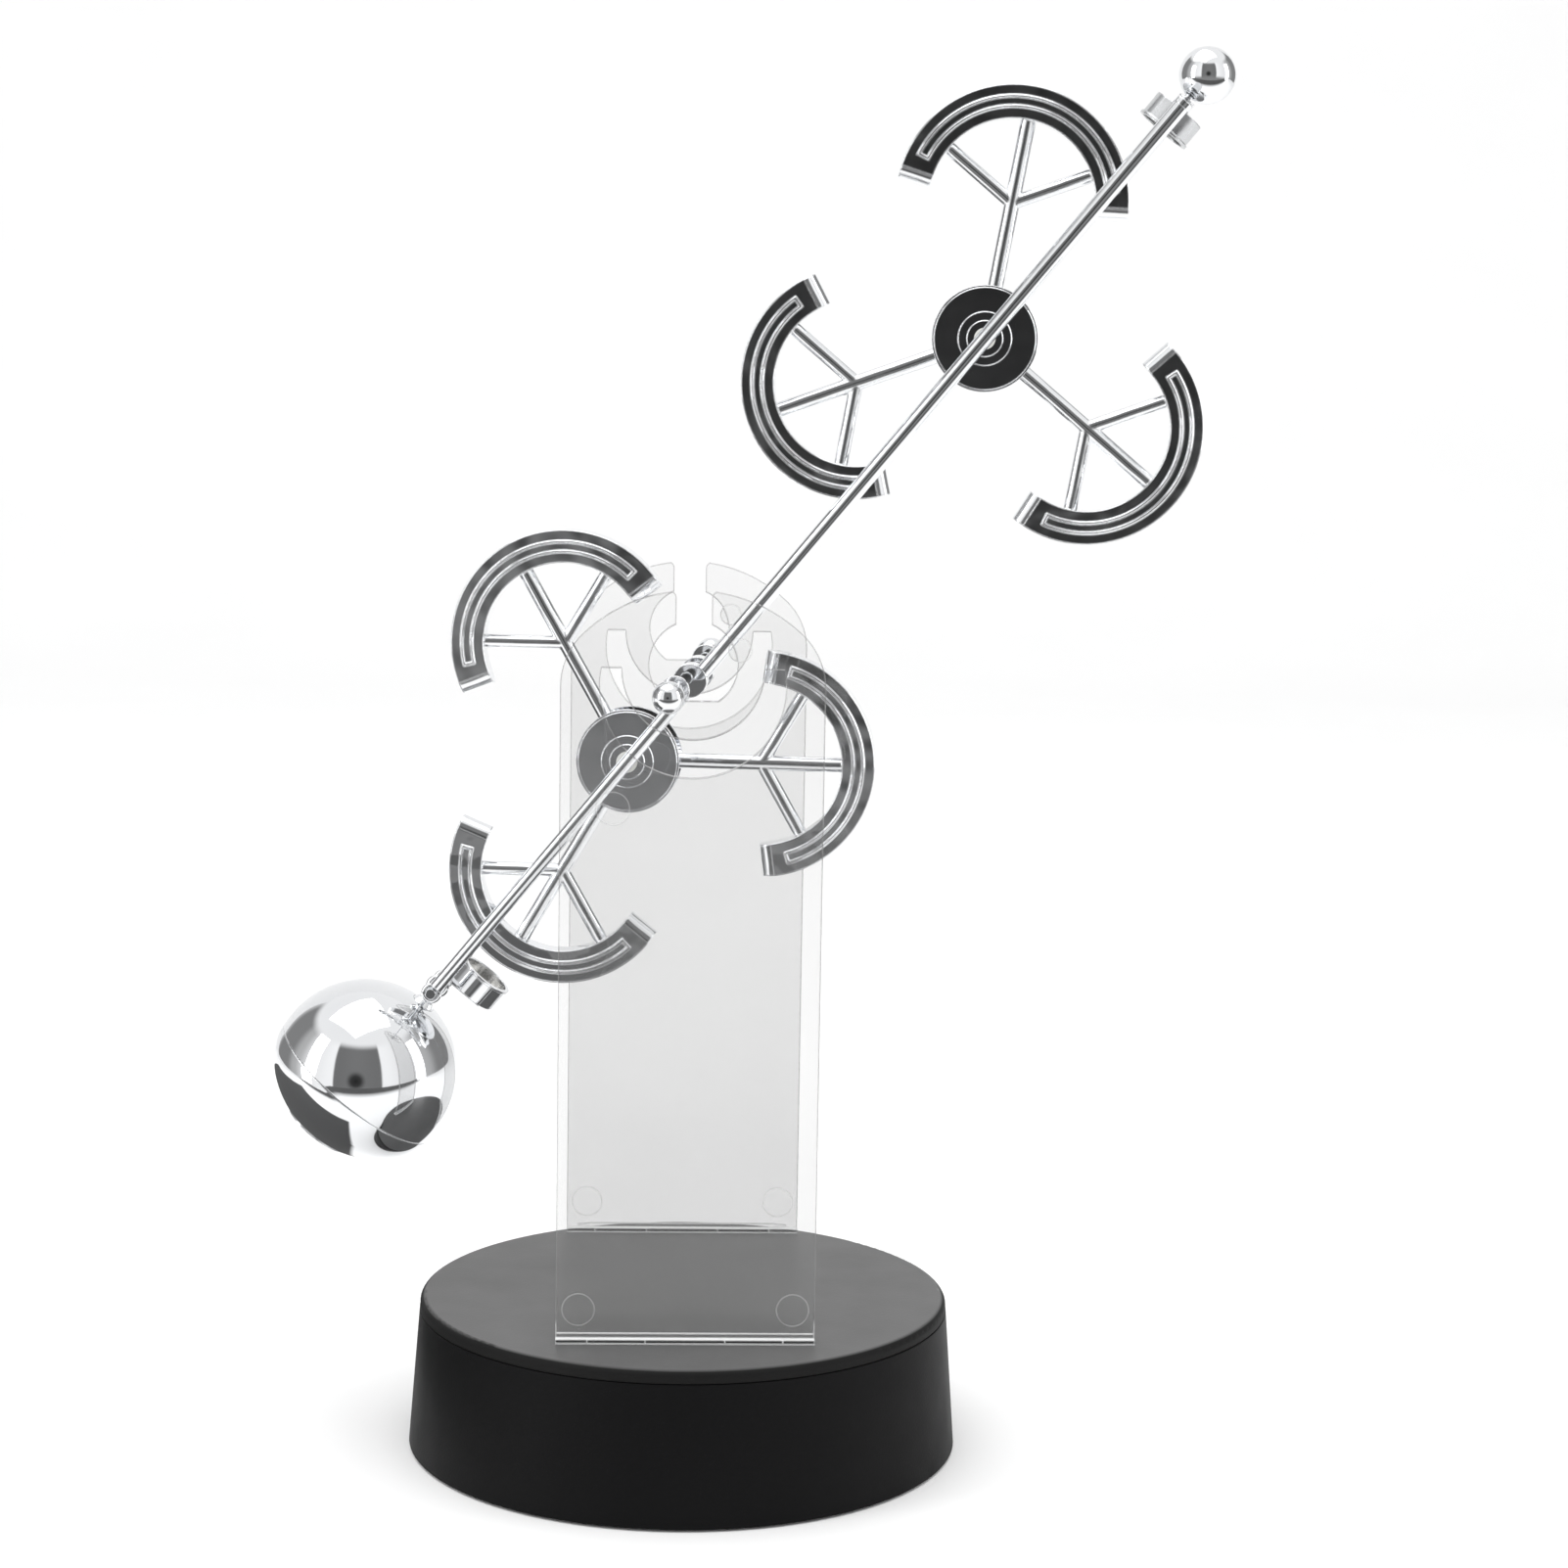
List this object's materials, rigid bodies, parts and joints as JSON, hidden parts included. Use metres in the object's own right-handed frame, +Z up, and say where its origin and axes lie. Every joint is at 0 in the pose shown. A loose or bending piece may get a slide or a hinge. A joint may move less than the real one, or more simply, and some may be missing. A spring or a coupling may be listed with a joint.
{
  "type": "electromagnetic pendulum desk toy",
  "caption": "Battery-driven kinetic desk toy: a chrome pendulum with free-spinning three-armed rotors swings between clear slotted uprights on a round black base.",
  "frame": {"origin": "on the table plane, under the centre of the round base (the lower edge of the base wall is 0.5 mm above it, on the rubber feet)", "axes": "+Z up, -Y towards the viewer (the face of the front upright), +X to the viewer's right; the pendulum swings about an axle that lies 5.9 degrees off +Y"},
  "size_m": [0.1693, 0.1, 0.2526],
  "materials": {
    "base_black": "satin moulded black plastic",
    "cover_black": "fine-textured black plastic",
    "foot_rubber": "matt rubber",
    "screw_steel": "zinc-plated steel",
    "cell_sleeve": "plain printed sleeve over a steel can, no marking",
    "contact_steel": "nickel-plated spring steel",
    "lead_insulation": "soft wire insulation",
    "bobbin_plastic": "natural moulded plastic",
    "copper_wire": "enamelled copper wire",
    "board_green": "solder-masked board",
    "component_black": "moulded component body",
    "capacitor_blue": "shrink sleeve",
    "resistor_body": "lacquered body",
    "clear_plastic": "clear moulded plastic",
    "polished_chrome": "bright chrome plating",
    "dark_chrome": "mirror-bright dark plating",
    "pin_steel": "bright drawn steel wire",
    "washer_nylon": "white nylon",
    "magnet_nickel": "nickel-plated magnet"
  },
  "bodies": {
    "stand": {"base_top": "base_black", "base_wall": "base_black", "bottom_cover": "cover_black", "cover_screws": "screw_steel", "rubber_feet": "foot_rubber", "battery_1": "cell_sleeve", "battery_2": "cell_sleeve", "battery_3": "cell_sleeve", "battery_4": "cell_sleeve", "battery_springs": "contact_steel", "battery_contacts": "contact_steel", "battery_leads": "lead_insulation", "coil_bobbin": "bobbin_plastic", "coil_winding": "copper_wire", "circuit_board": "board_green", "board_screws": "screw_steel", "drive_transistor": "component_black", "capacitor": "capacitor_blue", "resistor": "resistor_body", "front_upright": "clear_plastic", "rear_upright": "clear_plastic"},
    "battery_door": {"battery_door": "cover_black", "door_screw": "screw_steel"},
    "pendulum": {"front_pivot_block": "polished_chrome", "rear_pivot_block": "polished_chrome", "front_axle_pin": "polished_chrome", "rear_axle_pin": "polished_chrome", "axle_collars": "polished_chrome", "front_axle_ball": "polished_chrome", "rear_axle_ball": "polished_chrome", "front_upper_rod": "polished_chrome", "front_lower_rod": "polished_chrome", "rear_upper_rod": "polished_chrome", "rear_lower_rod": "polished_chrome", "top_yoke": "polished_chrome", "top_neck": "polished_chrome", "top_ball": "polished_chrome", "upper_cup": "polished_chrome", "upper_cup_magnet": "magnet_nickel", "lower_bracket": "polished_chrome", "lower_cup": "polished_chrome", "lower_cup_magnet": "magnet_nickel", "link_pin": "polished_chrome", "upper_rotor_pin": "pin_steel", "lower_rotor_pin": "pin_steel", "rotor_washers": "washer_nylon"},
    "drive_ball": {"ball_hook": "polished_chrome", "ball_collar": "polished_chrome", "ball_upper_half": "polished_chrome", "ball_lower_half": "polished_chrome", "ball_magnet": "magnet_nickel"},
    "upper_rotor": {"upper_rotor_frame": "polished_chrome", "upper_hub_discs": "dark_chrome", "upper_rotor_magnets": "magnet_nickel"},
    "lower_rotor": {"lower_rotor_frame": "polished_chrome", "lower_hub_discs": "dark_chrome", "lower_rotor_magnets": "magnet_nickel"}
  },
  "joints": [
    {"name": "pendulum_swing", "type": "hinge", "parent": "stand", "child": "pendulum", "pos_m": [0, 0.005, 0.1408], "axis": [0.1028, 0.9947, 0], "range_deg": [-99.2, 20.8]},
    {"name": "upper_rotor_spin", "type": "hinge", "parent": "pendulum", "child": "upper_rotor", "pos_m": [0.05114, -0.00028, 0.20146], "axis": [0.1028, 0.9947, 0], "continuous": true},
    {"name": "lower_rotor_spin", "type": "hinge", "parent": "pendulum", "child": "lower_rotor", "pos_m": [-0.01091, 0.00613, 0.12497], "axis": [0.1028, 0.9947, 0], "continuous": true},
    {"name": "ball_link", "type": "hinge", "parent": "pendulum", "child": "drive_ball", "pos_m": [-0.04574, 0.00973, 0.08204], "axis": [0.1028, 0.9947, 0], "range_deg": [-45, 45]},
    {"name": "battery_door_lift", "type": "slide", "parent": "stand", "child": "battery_door", "axis": [0, 0, -1], "range_m": [0, 0.012]}
  ]
}
